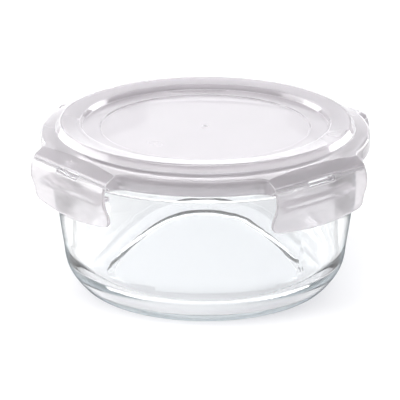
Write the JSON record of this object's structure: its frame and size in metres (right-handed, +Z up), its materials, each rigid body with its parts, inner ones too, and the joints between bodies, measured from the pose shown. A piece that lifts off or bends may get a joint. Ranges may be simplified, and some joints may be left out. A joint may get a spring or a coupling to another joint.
{
  "type": "glass food storage container",
  "caption": "Round glass food container with rounded base and heavy rim, and a clear snap-lock plastic lid with raised ring, hinged latch flaps and silicone seal.",
  "frame": {"origin": "centre of the base, on the table plane", "axes": "+Z up along the bowl's axis; the snap flaps stand at +X (right), +Y (back), -X (left) and -Y (front)"},
  "size_m": [0.174, 0.174, 0.0839],
  "materials": {
    "borosilicate_glass": "clear, fire-polished",
    "clear_polypropylene": "translucent, polished",
    "silicone": "soft, milky translucent"
  },
  "bodies": {
    "bowl": {"glass_bowl": "borosilicate_glass"},
    "lid": {"lid": "clear_polypropylene", "seal_ring": "silicone", "hinge_film_right": "clear_polypropylene", "hinge_film_back": "clear_polypropylene", "hinge_film_left": "clear_polypropylene", "hinge_film_front": "clear_polypropylene"},
    "flap_right": {"flap_right": "clear_polypropylene"},
    "flap_back": {"flap_back": "clear_polypropylene"},
    "flap_left": {"flap_left": "clear_polypropylene"},
    "flap_front": {"flap_front": "clear_polypropylene"}
  },
  "joints": [
    {"name": "lid_lift", "type": "slide", "parent": "bowl", "child": "lid", "axis": [0, 0, 1], "range_m": [0, 0.06]},
    {"name": "flap_right_hinge", "type": "hinge", "parent": "lid", "child": "flap_right", "pos_m": [0.0852, 0, 0.0741], "axis": [0, -1, 0], "range_deg": [-8, 130], "deforming": ["hinge_film_right"]},
    {"name": "flap_back_hinge", "type": "hinge", "parent": "lid", "child": "flap_back", "pos_m": [0, 0.0852, 0.0741], "axis": [1, 0, 0], "range_deg": [-8, 130], "deforming": ["hinge_film_back"]},
    {"name": "flap_left_hinge", "type": "hinge", "parent": "lid", "child": "flap_left", "pos_m": [-0.0852, 0, 0.0741], "axis": [0, 1, 0], "range_deg": [-8, 130], "deforming": ["hinge_film_left"]},
    {"name": "flap_front_hinge", "type": "hinge", "parent": "lid", "child": "flap_front", "pos_m": [0, -0.0852, 0.0741], "axis": [-1, 0, 0], "range_deg": [-8, 130], "deforming": ["hinge_film_front"]}
  ]
}
